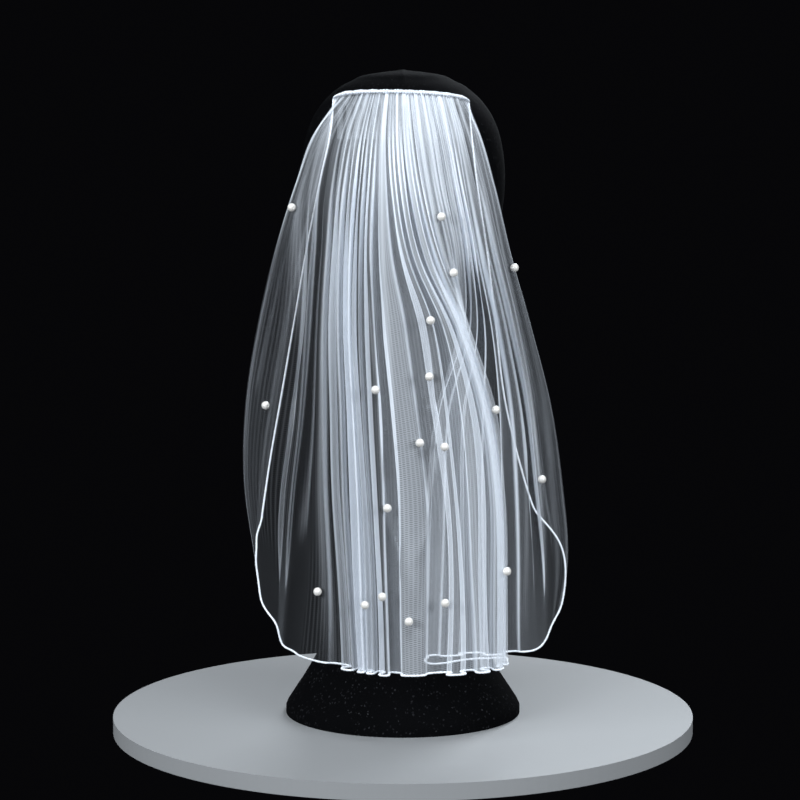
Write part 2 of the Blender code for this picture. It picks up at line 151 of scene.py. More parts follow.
# %% [markdown]
# ## How the cloth hangs
#
# Tulle has hardly any weight, so its folds are set by the gathering at the comb and by the way the whole cloth
# rolls round at the sides. It could be simulated, but a simulation falls differently each time it is touched.
# Here the folds are worked out. Guide lines run down the cloth, and a wave with rounded, slightly tucked folds
# swings about the sheet that they make. These are the same guides as the measured model has.

# %% The veil's sizes
# The folds open over a stretch below the comb, wander a little on the way down, and stay shallower than a
# share of the room that they have.
COMB_HEIGHT = 468.0 * MM
COMB_SLOPE = 2.6 * MM
COMB_ENDS_DROP = 4.5 * MM
FOLD_COUNT = 24
GATHER_DEPTH = 0.6 * MM
FOLDS_OPEN_OVER = 165.0 * MM
WANDER = 0.07
WANDER_LENGTH = 260.0 * MM
TURN_REACH = 0.8
DEEPEST_FOLD = 0.62
print(FOLD_COUNT, "folds hang from", COMB_HEIGHT, "m above the floor")

# %% Guide lines, in millimetres at nine heights
HEIGHTS = (468, 441, 404, 353, 300, 240, 180, 120, 55)
Guide = namedtuple("Guide", "name lane x y")
GUIDES = (
    Guide("left edge", 0,
          (-50, -52, -60, -71, -81, -92, -102.5, -109.5, -108),
          (-49, -66, -66, -32, -6, 8, 8, -6, -16)),
    Guide("left roll, far", 1.6,
          (-43.5, -61.5, -76.5, -92.5, -105.5, -115.5, -118, -111, -102),
          (-54.5, -64, -55.5, -41, -25, -14, -11, -15, -24)),
    Guide("left roll, near", 2.4,
          (-40.5, -62.5, -77, -93.5, -106.5, -116.5, -118.5, -110.5, -101),
          (-57.5, -68, -61.5, -51, -39, -30, -26, -26, -32)),
    Guide("left pleat", 3.5,
          (-36, -52, -62, -66, -70, -76, -83, -87, -92),
          (-61, -77, -80, -80, -80, -76, -70, -62, -44)),
    Guide("back, left", 5,
          (-30, -40, -47, -51, -53, -52, -51, -48, -45),
          (-67, -86, -92, -96, -97, -97, -97, -97, -97)),
    Guide("back, middle", 9,
          (-13.6, -17, -19, -20, -18, -14, -10, -8, -7),
          (-74, -95, -106, -110, -112, -114, -116, -118, -119)),
    Guide("front layer, right", 13.5,
          (4.6, 7, 12, 24, 46, 65, 72, 74, 75),
          (-75.5, -96, -107, -112.5, -112, -105, -101, -96, -91)),
    Guide("middle layer, right", 14.5,
          (8.6, 12, 18, 29.5, 48, 67, 73, 75, 76),
          (-75.5, -96, -106.5, -110, -103, -89, -84, -79, -74)),
    Guide("middle layer, left", 16.5,
          (16.7, 22, 28, 38, 39, 25, 19, 17.5, 17),
          (-73, -94, -104, -103.5, -93, -92, -91, -90, -89)),
    Guide("back layer, left", 17.5,
          (20.7, 26, 33, 42, 43, 25, 19, 17.5, 17),
          (-71, -91, -101, -99, -83, -76, -73, -72, -71)),
    Guide("back layer, right", 20,
          (30.8, 38, 45, 55, 66, 74, 78, 80, 80),
          (-66, -86, -95, -93, -82, -67, -59, -52, -49)),
    Guide("right pleat", 21.5,
          (37, 46, 56, 67, 80, 93, 100, 106, 108),
          (-61, -79, -83, -78, -68, -56, -48, -42, -38)),
    Guide("right roll, near", 22.2,
          (39.5, 53.5, 64.5, 77.5, 92.5, 108.5, 118, 123, 111.5),
          (-58.5, -72, -74, -65.5, -54.5, -43, -36, -31, -33)),
    Guide("right roll, far", 23,
          (43, 53.5, 65, 77.5, 92.5, 108.5, 118, 122.5, 114),
          (-55.5, -69, -69.5, -60, -46, -33, -25, -22, -26)),
    Guide("right edge", 24,
          (47, 49, 53, 61, 68, 76, 91, 110, 120),
          (-52, -67, -74.5, -63, -43, -24, -10, -8, -16)),
)
print(len(GUIDES), "guide lines at", len(HEIGHTS), "heights")

# %% Turns
# Where the whole cloth turns back on itself: how far below the comb the folds start to give way there, and
# over what distance.
Turn = namedtuple("Turn", "lane start over")
TURNS = (
    Turn(2, 0, 24),
    Turn(3.5, 310, 80),
    Turn(14, 90, 70),
    Turn(17, 90, 70),
    Turn(21.5, 310, 80),
    Turn(22.6, 0, 24),
)
print("the cloth turns back at lanes", [turn.lane for turn in TURNS])

# %% Folds
# One row for each fold, from left to right: its share of the room between two guides, how deep it stands in
# millimetres, and, as shares of its width, how far its sides tuck under its face and how far it leans right.
Fold = namedtuple("Fold", "share depth tuck lean")
FOLDS = (
    Fold(1.0, 1.0, 0.00, 0.00),
    Fold(1.0, 0.8, 0.00, 0.00),
    Fold(1.6, 1.6, 0.00, 0.00),
    Fold(0.5, 4.6, 0.14, -0.05),
    Fold(1.6, 3.4, 0.06, 0.04),
    Fold(1.1, 6.4, 0.17, -0.07),
    Fold(0.9, 5.8, 0.17, 0.05),
    Fold(0.9, 5.6, 0.17, -0.05),
    Fold(1.1, 7.0, 0.17, 0.06),
    Fold(2.1, 4.6, 0.08, -0.04),
    Fold(0.8, 5.8, 0.18, -0.07),
    Fold(0.9, 6.6, 0.17, 0.08),
    Fold(0.8, 5.6, 0.18, -0.05),
    Fold(1.0, 3.6, 0.10, 0.02),
    Fold(1.0, 1.5, 0.00, 0.00),
    Fold(1.1, 2.6, 0.05, -0.03),
    Fold(0.9, 1.5, 0.00, 0.00),
    Fold(1.0, 2.6, 0.05, 0.03),
    Fold(1.0, 4.4, 0.13, 0.06),
    Fold(1.0, 4.4, 0.12, -0.05),
    Fold(1.5, 3.2, 0.04, 0.00),
    Fold(0.5, 4.2, 0.12, 0.05),
    Fold(1.0, 1.0, 0.00, 0.00),
    Fold(1.0, 1.0, 0.00, 0.00),
)
print("the deepest fold is", max(fold.depth for fold in FOLDS), "mm deep")

# %% The cut
# How high each lane's lower end hangs. The corners are rounded, so it climbs to the free edges.
Lower = namedtuple("Lower", "lane height")
CUT = (
    Lower(0, 146),
    Lower(1, 127),
    Lower(2, 103),
    Lower(2.6, 87),
    Lower(3.1, 73),
    Lower(3.6, 63),
    Lower(4.2, 57.5),
    Lower(5, 55.5),
    Lower(8, 54),
    Lower(12, 55),
    Lower(16, 56),
    Lower(19, 55),
    Lower(20, 55),
    Lower(20.8, 57),
    Lower(21.4, 64),
    Lower(21.9, 75),
    Lower(22.5, 93),
    Lower(23.2, 122),
    Lower(24, 156),
)
print("the hem hangs", min(row.height for row in CUT), "mm above the floor")


# %% Smooth curves through tables of values
def smooth_curve(knots, values, at, steady=False):
    """The value at each place of `at`, on a smooth curve through the values given at the knots.

    A steady curve is for values that only rise, and never swings past one of them.
    """
    last = len(knots) - 1
    steps = [knots[k + 1] - knots[k] for k in range(last)]
    rises = [(values[k + 1] - values[k]) / steps[k] for k in range(last)]
    slopes = [rises[0]]
    for k in range(1, last):
        if steady:
            slopes.append(2 * rises[k - 1] * rises[k] / (rises[k - 1] + rises[k]))
        else:
            weighted = rises[k - 1] * steps[k] + rises[k] * steps[k - 1]
            slopes.append(weighted / (steps[k - 1] + steps[k]))
    slopes.append(rises[-1])
    at = np.clip(at, knots[0], knots[-1])
    result = np.zeros_like(at)
    for k in range(last):
        t = np.clip((at - knots[k]) / steps[k], 0.0, 1.0)
        curve = (
            (1 + 2 * t) * (1 - t) ** 2 * values[k]
            + t * (1 - t) ** 2 * steps[k] * slopes[k]
            + t * t * (3 - 2 * t) * values[k + 1]
            + t * t * (t - 1) * steps[k] * slopes[k + 1]
        )
        inside = (at >= knots[k]) & (at <= knots[k + 1])
        result = np.where(inside, curve, result)
    return result


def ease(t):
    """0 to 1, leaving and arriving slowly."""
    t = np.clip(t, 0.0, 1.0)
    return t * t * (3 - 2 * t)


def column(table, field):
    return [float(getattr(row, field)) for row in table]


# %% Where each line of the cloth starts, ends and hangs
def top_height(lane):
    """The gathered edge: nearly level, a little lower on the right, and dropping at both ends."""
    across = lane / FOLD_COUNT * 2 - 1
    slope = COMB_SLOPE * np.clip(across, 0.0, 1.0)
    ends = COMB_ENDS_DROP * np.abs(across) ** 5
    return COMB_HEIGHT - slope - ends


def lower_height(lane):
    return smooth_curve(column(CUT, "lane"), column(CUT, "height"), lane) * MM


def hem_lane(lane):
    """Where a lane lies among the guides at the hem, where each fold takes its own share of the room."""
    places = [guide.lane for guide in GUIDES]
    edges = np.arange(FOLD_COUNT + 1, dtype=float)
    used = np.concatenate([[0.0], np.cumsum(column(FOLDS, "share"))])
    at_lane = np.interp(lane, edges, used)
    at_place = np.interp(places, edges, used)
    return np.interp(at_lane, at_place, places)


def hang(lane, height):
    """How far the folds have opened at a height, from 0 at the comb to 1."""
    return ease((top_height(lane) - height) / FOLDS_OPEN_OVER)


def spine(lane, height):
    """The line that the folds swing about, seen from above: x and y in metres."""
    drop = HEIGHTS[0] - height / MM
    drops = [HEIGHTS[0] - level for level in HEIGHTS]
    lanes = [guide.lane for guide in GUIDES]
    xs = [smooth_curve(drops, guide.x, drop) for guide in GUIDES]
    ys = [smooth_curve(drops, guide.y, drop) for guide in GUIDES]
    run = [np.zeros_like(drop)]
    for k in range(len(GUIDES) - 1):
        run.append(run[-1] + np.hypot(xs[k + 1] - xs[k], ys[k + 1] - ys[k]))
    along = smooth_curve(lanes, run, lane, steady=True)
    return smooth_curve(run, xs, along) * MM, smooth_curve(run, ys, along) * MM


def spread(lane, height):
    """The lane's place on the spine: even at the comb, by each fold's share lower down, and never straight."""
    opened = hang(lane, height)
    place = lane + (hem_lane(lane) - lane) * opened
    inside = np.sin(math.pi * np.clip(lane / FOLD_COUNT, 0.0, 1.0))
    swing = np.sin(2.3 * lane + 2 * math.pi * height / WANDER_LENGTH)
    return place + WANDER * opened * inside * swing


def quiet(lane, height):
    """1 where folds swing freely, and 0 where the whole cloth turns back on itself."""
    drop = (top_height(lane) - height) / MM
    calm = 1.0
    for turn in TURNS:
        settled = ease((drop - turn.start) / turn.over)
        calm = calm * (1 - settled * np.exp(-(((lane - turn.lane) / TURN_REACH) ** 2)))
    return calm


# %% A point of the cloth
def sheet_point(lane, height):
    """A point of the net for arrays of lanes and heights, and the way along its spine as (tx, ty)."""
    place = spread(lane, height)
    nudge = 0.02
    x, y = spine(place, height)
    x0, y0 = spine(place - nudge, height)
    x1, y1 = spine(place + nudge, height)
    along = np.hypot(x1 - x0, y1 - y0)
    tx = (x1 - x0) / along
    ty = (y1 - y0) / along
    left_x, left_y = spine(spread(lane - 0.5, height), height)
    right_x, right_y = spine(spread(lane + 0.5, height), height)
    before = np.hypot(x - left_x, y - left_y)
    after = np.hypot(right_x - x, right_y - y)
    room = 4 * before * after / (before + after)

    crests = np.arange(FOLD_COUNT) + 0.5
    opened = hang(lane, height)
    calm = quiet(lane, height)
    phase = 2 * math.pi * (lane - 0.5)
    depth = np.interp(lane, crests, column(FOLDS, "depth")) * MM
    depth = GATHER_DEPTH + (depth - GATHER_DEPTH) * opened
    depth = calm * np.minimum(depth, DEEPEST_FOLD * room)
    tuck = calm * np.interp(lane, crests, column(FOLDS, "tuck")) * room * opened
    lean = calm * np.interp(lane, crests, column(FOLDS, "lean")) * room * opened
    sideways = tuck * np.sin(2 * phase) + lean * np.cos(phase)
    outwards = depth * np.cos(phase)
    point = np.stack([x + tx * sideways + ty * outwards, y + ty * sideways - tx * outwards, height], axis=-1)
    return point, tx, ty


# %% [markdown]
# ## Fine gathers and creases
#
# Between the large folds, tulle keeps the small gathers of its heading. They are deep and packed at the comb
# and fade to soft, uneven ridges at the hem. A few longer creases are listed, one row each, where the
# cloth was folded for storage or kinks over a roll.

# %% Sizes of the fine form
GATHERS_PER_FOLD = 3
GATHER_AT_COMB = 0.95 * MM
GATHER_AT_HEM = 0.16 * MM
CUT_WIDTH = 760.0 * MM
CUT_LENGTH = 440.0 * MM
PLAIN_EDGE = 0.15
HEM_EASES_OVER = 12.0 * MM
COLUMNS_PER_FOLD = 30
NET_ROWS = 118
CLOSER_AT_COMB = 1.12
print("a fine gather every", round(CUT_WIDTH / MM / FOLD_COUNT / GATHERS_PER_FOLD, 1), "mm of cloth")

# %% Creases
# A crease starts at a lane, runs between two heights, drifts over some lanes and stands out or in, in mm
Crease = namedtuple("Crease", "lane top low drift width depth")
CREASES = (
    Crease(0.9, 400, 230, 0.3, 0.16, 1.3),
    Crease(1.9, 350, 170, -0.4, 0.14, -1.1),
    Crease(2.9, 420, 210, 0.5, 0.13, 1.5),
    Crease(4.3, 390, 120, -0.3, 0.12, -1.4),
    Crease(6.7, 380, 250, 0.2, 0.10, 0.9),
    Crease(8.5, 360, 110, 0.8, 0.08, 1.3),
    Crease(9.3, 330, 90, 0.3, 0.09, 1.2),
    Crease(9.8, 260, 60, -0.3, 0.08, -0.9),
    Crease(10.3, 350, 120, -0.9, 0.06, 1.3),
    Crease(13.3, 300, 110, 0.2, 0.12, 0.9),
    Crease(15.4, 250, 70, -0.3, 0.14, 1.1),
    Crease(17.3, 240, 90, 0.2, 0.12, -0.9),
    Crease(20.4, 360, 180, 0.3, 0.13, 1.2),
    Crease(21.0, 300, 180, -0.2, 0.11, -1.0),
    Crease(22.9, 340, 210, 0.3, 0.14, 1.1),
    Crease(23.5, 300, 180, -0.2, 0.12, -0.8),
)
print(len(CREASES), "creases")


def along_crease(crease, lane, height):
    """1 on a crease, easing to 0 beside it and at its two ends. Creases lean further over towards the hem."""
    down = (crease.top - height / MM) / (crease.top - crease.low)
    held = ease(6 * down) * ease(6 * (1 - down))
    middle = crease.lane + crease.drift * np.clip(down, 0, 1) ** 2
    return held * np.exp(-(((lane - middle) / crease.width) ** 2))


# %% The net's fine form
def fine_relief(lane, height):
    """How far the small gathers and the creases stand off the large folds."""
    opened = hang(lane, height)
    uneven = 0.62 + 0.38 * np.sin(1.7 * lane + 9.0 * height) * np.sin(5.3 * lane - 4.0 * height)
    size = (GATHER_AT_COMB + (GATHER_AT_HEM - GATHER_AT_COMB) * opened) * uneven
    shift = 2.2 * np.sin(1.3 * lane + 6.0 * height) + 1.1 * np.sin(3.7 * lane)
    relief = size * np.sin(2 * math.pi * GATHERS_PER_FOLD * lane + shift)
    for crease in CREASES:
        relief = relief + crease.depth * MM * along_crease(crease, lane, height)
    edge = np.clip(np.minimum(lane, FOLD_COUNT - lane) / PLAIN_EDGE, 0, 1)
    hem = np.clip((height - lower_height(lane)) / HEM_EASES_OVER, 0.25, 1)
    return relief * edge * hem


def net_point(lane, height):
    """A point of the net with its fine gathers, and how sharply the cloth turns away from its spine there."""
    step = 0.01
    here, tx, ty = sheet_point(lane, height)
    after, _, _ = sheet_point(lane + step, height)
    before, _, _ = sheet_point(lane - step, height)
    way = after[..., :2] - before[..., :2]
    way = way / np.linalg.norm(way, axis=-1, keepdims=True)
    relief = fine_relief(lane, height)
    here[..., 0] += way[..., 1] * relief
    here[..., 1] -= way[..., 0] * relief
    turned = np.abs(way[..., 0] * ty - way[..., 1] * tx)
    return here, turned


# %% Points of the whole net
lanes = np.linspace(0.0, FOLD_COUNT, FOLD_COUNT * COLUMNS_PER_FOLD + 1)
fractions = (np.arange(NET_ROWS) / (NET_ROWS - 1)) ** CLOSER_AT_COMB
grid_lane = np.tile(lanes, (NET_ROWS, 1))
grid_top = top_height(grid_lane)
grid_height = grid_top + (lower_height(grid_lane) - grid_top) * fractions[:, None]
net_grid, net_turned = net_point(grid_lane, grid_height)
steps = np.linalg.norm(np.diff(net_grid, axis=1), axis=2)
step_width = CUT_WIDTH / FOLD_COUNT / COLUMNS_PER_FOLD
row_lengths = steps.sum(axis=1)
print("cloth along the comb, middle and hem, mm:", (row_lengths[[0, NET_ROWS // 2, -1]] / MM).round())


# %% [markdown]
# ## Tulle
#
# Tulle is a honeycomb of fine threads, and most of it is holes. Threads could be modelled one by one, but there
# are a quarter of a million cells. The holes are drawn in the cloth's own coordinates instead, in metres of cut
# cloth, and let the light through. Where the modelled surface is shorter than the cloth that it stands for,
# because the finest gathers are packed into it, the material counts that many layers. The same count also
# carries painted highlights: extra layers down the steep sides of folds, along the edges of the rolls and along
# the creases.

# %% Helpers for materials
def add(nodes, kind, **settings):
    made = nodes.new(kind)
    for name, value in settings.items():
        setattr(made, name, value)
    return made


def reckon(tree, kind, first, second):
    """A Math node fed by two sockets or numbers."""
    made = add(tree.nodes, "ShaderNodeMath", operation=kind)
    for socket, value in zip(made.inputs, (first, second)):
        if isinstance(value, (int, float)):
            socket.default_value = value
        else:
            tree.links.new(value, socket)
    return made.outputs[0]


def blank(name, colour, roughness):
    made = bpy.data.materials.new(name)
    made.use_nodes = True
    shader = made.node_tree.nodes["Principled BSDF"]
    shader.inputs["Base Color"].default_value = (*colour, 1.0)
    shader.inputs["Roughness"].default_value = roughness
    print("finish:", name)
    return made, made.node_tree, shader


def pattern(tree, kind, scale, **settings):
    """A texture node that is fixed to the piece itself."""
    made = add(tree.nodes, kind)
    for name, value in {"Scale": scale, **settings}.items():
        made.inputs[name].default_value = value
    coordinates = add(tree.nodes, "ShaderNodeTexCoord")
    tree.links.new(coordinates.outputs["Object"], made.inputs["Vector"])
    return made


def bumpy(tree, shader, height, strength, distance):
    """Lets a texture roughen the light on a surface that is too fine to model."""
    bump = add(tree.nodes, "ShaderNodeBump")
    bump.inputs["Strength"].default_value = strength
    bump.inputs["Distance"].default_value = distance
    tree.links.new(height, bump.inputs["Height"])
    tree.links.new(bump.outputs[0], shader.inputs["Normal"])


# %% Tulle material
THREAD_COVER = 0.03
CELL = 1.35 * MM


def honeycomb(tree, vector, cell):
    """1 on the threads of a honeycomb and 0 in its holes, from three waves 60 degrees apart."""
    split = add(tree.nodes, "ShaderNodeSeparateXYZ")
    tree.links.new(vector, split.inputs[0])
    total = 0.0
    for turn in (0, 60, 120):
        angle = math.radians(turn)
        across = reckon(tree, "MULTIPLY", split.outputs[0], math.cos(angle) * 2 * math.pi / cell)
        down = reckon(tree, "MULTIPLY", split.outputs[1], math.sin(angle) * 2 * math.pi / cell)
        wave = reckon(tree, "COSINE", reckon(tree, "ADD", across, down), 0.0)
        total = wave if total == 0.0 else reckon(tree, "ADD", total, wave)
    spread_out = add(tree.nodes, "ShaderNodeMapRange", interpolation_type="SMOOTHSTEP")
    tree.links.new(total, spread_out.inputs["Value"])
    spread_out.inputs["From Min"].default_value = 0.6
    spread_out.inputs["From Max"].default_value = -0.9
    spread_out.inputs["To Min"].default_value = 0.25
    spread_out.inputs["To Max"].default_value = 1.75
    return spread_out.outputs["Result"]


tulle, tree, shader = blank("tulle", (0.92, 0.95, 1.0), 0.6)
cut_uv = add(tree.nodes, "ShaderNodeUVMap", uv_map="cut")
thread = honeycomb(tree, cut_uv.outputs[0], CELL)
# The layer count also carries the painted highlights on fold sides, roll edges and creases.
layers = add(tree.nodes, "ShaderNodeAttribute", attribute_name="layers")
contrast = reckon(tree, "SQRT", layers.outputs["Fac"], 0.0)
evened = reckon(tree, "DIVIDE", reckon(tree, "SUBTRACT", thread, 1.0), contrast)
cover_here = reckon(tree, "MULTIPLY", reckon(tree, "ADD", evened, 1.0), THREAD_COVER)
open_share = reckon(tree, "SUBTRACT", 1.0, cover_here)
see_through = reckon(tree, "POWER", open_share, layers.outputs["Fac"])
tree.links.new(reckon(tree, "SUBTRACT", 1.0, see_through), shader.inputs["Alpha"])
shader.inputs["Specular IOR Level"].default_value = 0.3
shader.inputs["Sheen Weight"].default_value = 0.15
shader.inputs["Sheen Roughness"].default_value = 0.4
bumpy(tree, shader, thread, 0.25, 0.2 * MM)
print("tulle: one flat layer covers", THREAD_COVER)


# %% Gathers too fine to model
# How many layers the smallest gathers lay over one another, at the comb and once the cloth has opened out, and
# how strongly the painted highlight on the steep sides of folds and the pleats show lower down. They show little
# where the net laps back behind itself.
Gathered = namedtuple("Gathered", "lane comb low folds")
GATHERED = (
    Gathered(0.0, 1.5, 0.8, 0.30),
    Gathered(3.0, 1.8, 0.8, 0.20),
    Gathered(4.5, 2.0, 0.8, 0.20),
    Gathered(5.0, 2.4, 1.0, 0.90),
    Gathered(5.5, 2.8, 1.4, 0.45),
    Gathered(6.1, 2.8, 1.6, 1.00),
    Gathered(6.9, 2.7, 2.2, 1.20),
    Gathered(7.4, 2.6, 0.8, 0.20),
    Gathered(7.8, 2.6, 1.6, 0.35),
    Gathered(8.5, 2.6, 2.4, 0.60),
    Gathered(9.0, 3.4, 7.0, 0.60),
    Gathered(10.2, 3.8, 9.0, 0.45),
    Gathered(13.2, 4.6, 7.5, 0.45),
    Gathered(14.0, 5.5, 3.0, 0.50),
    Gathered(14.6, 5.5, 1.2, 0.15),
    Gathered(17.0, 5.5, 1.2, 0.15),
    Gathered(17.8, 5.5, 2.4, 0.60),
    Gathered(20.5, 4.5, 2.4, 1.00),
    Gathered(21.6, 2.0, 0.8, 0.50),
    Gathered(24.0, 1.5, 0.8, 0.30),
)
FOLDS_AT_COMB = 0.6
FOLD_EDGE_PAINTED_HIGHLIGHT = 60.0
FOLD_SHARPNESS = 11
print("layers at the comb, left to right:", column(GATHERED, "comb"))


def gathered(lane, height, field):
    """A value of the table at arrays of lanes and heights: as written low down, and another one at the comb."""
    low = np.interp(lane, column(GATHERED, "lane"), column(GATHERED, field))
    if field == "folds":
        at_comb = FOLDS_AT_COMB
    else:
        at_comb = np.interp(lane, column(GATHERED, "lane"), column(GATHERED, "comb"))
    return at_comb + (low - at_comb) * hang(lane, height)


def bunches(lane, height):
    """The net isn't drawn up evenly along the comb, and that shows most near it."""
    uneven = np.sin(4.1 * lane + 0.8 * np.sin(2.2 * lane)) + 0.5 * np.sin(7.3 * lane + 1.0)
    return 1 + (0.42 - 0.1 * hang(lane, height)) * uneven


# %% Narrow pleats
# They leave the comb together and come to an end one by one on the way down. They are scattered with a fixed
# seed, so that every run is the same.
PLEATS = 120
PLEAT_SEED = 24
PLEAT_FADES_OVER = 0.3


def pleat_layers(lane, height):
    """How many layers the narrow pleats add at arrays of lanes and heights."""
    scatter = np.random.default_rng(PLEAT_SEED)
    down = (top_height(lane) - height) / CUT_LENGTH
    total = np.zeros_like(lane)
    for number in range(PLEATS):
        place = (number + scatter.uniform(0.0, 1.0)) / PLEATS * FOLD_COUNT
        reach = 0.15 + 1.1 * scatter.uniform(0.0, 1.0) ** 1.8
        width = scatter.uniform(0.025, 0.07)
        depth = scatter.uniform(3.0, 26.0) * scatter.uniform(0.3, 1.0)
        sway = scatter.uniform(-0.25, 0.25)
        beat = scatter.uniform(1.0, 5.0)
        middle = place + sway * down + 0.05 * np.sin(beat * 2 * down + 6.0 * number)
        ends = ease((reach - down) / PLEAT_FADES_OVER)
        total = total + depth * ends * np.exp(-(((lane - middle) / width) ** 2))
    return total


# %% Lines that catch the light
# Where the whole cloth turns back on itself, its edge is a narrow bright line, and so is a sharp crease. These
# lines are painted highlights, added to the net as extra layers, and each roll's last column is how many layers
# its line adds. A roll's line starts so many millimetres below the comb.
Roll = namedtuple("Roll", "lane start layers")
ROLL_HIGHLIGHTS = (
    Roll(2.0, 60, 8),
    Roll(14.0, 170, 10),
    Roll(17.0, 150, 36),
    Roll(22.6, 60, 8),
)
ROLL_HIGHLIGHT_WIDTH = 0.06
ROLL_OPENS_OVER = 80
CREASE_PAINTED_HIGHLIGHT = 3.0


def bright_lines(lane, height):
    """The painted highlights along the edges of the rolls and the creases, counted as extra layers."""
    drop = (top_height(lane) - height) / MM
    total = np.zeros_like(lane)
    for roll in ROLL_HIGHLIGHTS:
        across = np.exp(-(((lane - roll.lane) / ROLL_HIGHLIGHT_WIDTH) ** 2))
        total = total + roll.layers * ease((drop - roll.start) / ROLL_OPENS_OVER) * across
    for crease in CREASES:
        total = total + CREASE_PAINTED_HIGHLIGHT * crease.depth ** 2 / 2 * along_crease(crease, lane, height) ** 3
    return total


# %% The net, one piece from edge to edge
def running_mean(row, count):
    """The mean of each value and its neighbours, `count` of them together."""
    return np.convolve(np.pad(row, count // 2, mode="edge"), np.ones(count) / count, "valid")


net = sheet_object("veil_net", net_grid, tulle)

# %% How many layers lie at each point of the net, painted highlights included
LEAST_PACKED = 0.9
MOST_PACKED = 6.0
PACKED_OVER = 9

packed = np.ones_like(net_turned)
packed[:, :-1] = step_width / np.maximum(steps, 1e-7)
packed[:, -1] = packed[:, -2]
packed = np.apply_along_axis(running_mean, 1, packed, PACKED_OVER)
packed = np.clip(packed, LEAST_PACKED, MOST_PACKED)
# The steep sides of the folds, seen edge-on from straight out of the sheet, get a painted highlight counted as
# extra layers; the narrow pleats are real cloth.
folded = packed * FOLD_EDGE_PAINTED_HIGHLIGHT * net_turned ** FOLD_SHARPNESS + pleat_layers(grid_lane, grid_height)
layers_and_painted_highlights = packed * gathered(grid_lane, grid_height, "low") * bunches(grid_lane, grid_height)
layers_and_painted_highlights = layers_and_painted_highlights + gathered(grid_lane, grid_height, "folds") * folded
# Painted highlights along the roll edges and the creases.
layers_and_painted_highlights = layers_and_painted_highlights + bright_lines(grid_lane, grid_height)
attribute = net.data.attributes.new("layers", "FLOAT", "POINT")
attribute.data.foreach_set("value", layers_and_painted_highlights[::-1].reshape(-1).astype(np.float32))
print("layers:", round(float(layers_and_painted_highlights.min()), 1), "to", round(float(layers_and_painted_highlights.max()), 1))

# %% The net's own coordinates, in metres of cut cloth
cut_map = net.data.uv_layers.active
cut_map.name = "cut"
cut_across = grid_lane / FOLD_COUNT * CUT_WIDTH
cut_down = grid_top - grid_height
corner = np.empty(len(net.data.loops), dtype=np.int32)
net.data.loops.foreach_get("vertex_index", corner)
flat = np.stack([cut_across[::-1].reshape(-1), cut_down[::-1].reshape(-1)], axis=1)
cut_map.data.foreach_set("uv", flat[corner].reshape(-1).astype(np.float32))
stretches = [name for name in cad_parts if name.startswith("veil_")]
dress(net, "white_net", *stretches)


# %% [markdown]
# ## Corded edge
#
# A soft white cord of three twisted plies is sewn all round the cut edge, over the raw net. It could be a plain
# tube with a twisted pattern, but its plies catch the light one by one, so the twist is modelled: each ring
# of the tube has three lobes, and each ring is turned a little from the one before.

# %% Cord material
cord_look, tree, shader = blank("cord", (0.90, 0.92, 0.96), 0.55)
fibre = pattern(tree, "ShaderNodeTexNoise", 1800.0)
bumpy(tree, shader, fibre.outputs["Fac"], 0.4, 0.1 * MM)
shader.inputs["Sheen Weight"].default_value = 0.3

# %% Helpers for tubes
def distance_along(path):
    """How far along the path each of its points lies."""
    return np.concatenate([[0.0], np.cumsum(np.linalg.norm(np.diff(path, axis=0), axis=1))])


def tube_grid(path, radius, around, swell=0.0, twist=1.0, lobes=3):
    """Rings of points along a path, with lobes that wind round it, as a closed grid."""
    ahead = np.gradient(path, axis=0)
    ahead = ahead / np.linalg.norm(ahead, axis=1, keepdims=True)
    side = np.cross(ahead, (0.13, -0.21, 0.97))
    side = side / np.linalg.norm(side, axis=1, keepdims=True)
    over = np.cross(side, ahead)
    run = distance_along(path)
    angles = np.linspace(0.0, 2 * math.pi, around + 1)
    size = radius * (1 + swell * np.cos(lobes * (angles[None, :] - 2 * math.pi * run[:, None] / twist)))
    uneven = 1 + 0.12 * np.sin(2 * math.pi * run / 0.0047) * np.sin(2 * math.pi * run / 0.0131)
    size = (size * uneven[:, None])[..., None]
    circle = np.cos(angles)[None, :, None] * side[:, None, :] + np.sin(angles)[None, :, None] * over[:, None, :]
    return path[:, None, :] + size * circle


def even_path(path, step):
    """The same path with its points a set step apart."""
    run = distance_along(path)
    at = np.arange(0.0, run[-1], step)
    return np.stack([np.interp(at, run, path[:, axis]) for axis in range(3)], axis=1)


def cap_ends(piece):
    """Closes the open ends of a tube."""
    take(piece)
    bpy.ops.object.mode_set(mode="EDIT")
    bpy.ops.mesh.select_all(action="DESELECT")
    bpy.ops.mesh.select_non_manifold()
    bpy.ops.mesh.fill_holes(sides=0)
    bpy.ops.mesh.select_all(action="SELECT")
    bpy.ops.mesh.normals_make_consistent(inside=False)
    bpy.ops.object.mode_set(mode="OBJECT")


# %% Twisted cord round the cut edge
CORD_RADIUS = 0.66 * MM
PLY_SWELL = 0.28
TWIST = 3.6 * MM
RING = 9
CORD_STEP = 0.8 * MM
CORNERS_FROM = 85.0 * MM
CORNERS_WITHIN = 10.0 * MM
CORNER_POINTS = 17

left_edge = net_grid[:, 0]
hem_edge = net_grid[-1]
right_edge = net_grid[::-1, -1]
edge_path = np.concatenate([left_edge[:-1], hem_edge, right_edge[1:]])
edge_path = even_path(edge_path, CORD_STEP)
# The cord rounds off the two corners of the cut
eased_path = np.apply_along_axis(running_mean, 0, edge_path, CORNER_POINTS)
outer = ease((np.abs(edge_path[:, 0]) - CORNERS_FROM) / CORNERS_WITHIN)[:, None]
edge_path = edge_path + outer * (eased_path - edge_path)
cord = sheet_object("veil_edge_cord", tube_grid(edge_path, CORD_RADIUS, RING, PLY_SWELL, TWIST), cord_look, True)
cap_ends(cord)
dress(cord, "white_cord", "edge_cord")
print("corded edge", round(len(edge_path) * CORD_STEP, 2), "m long")


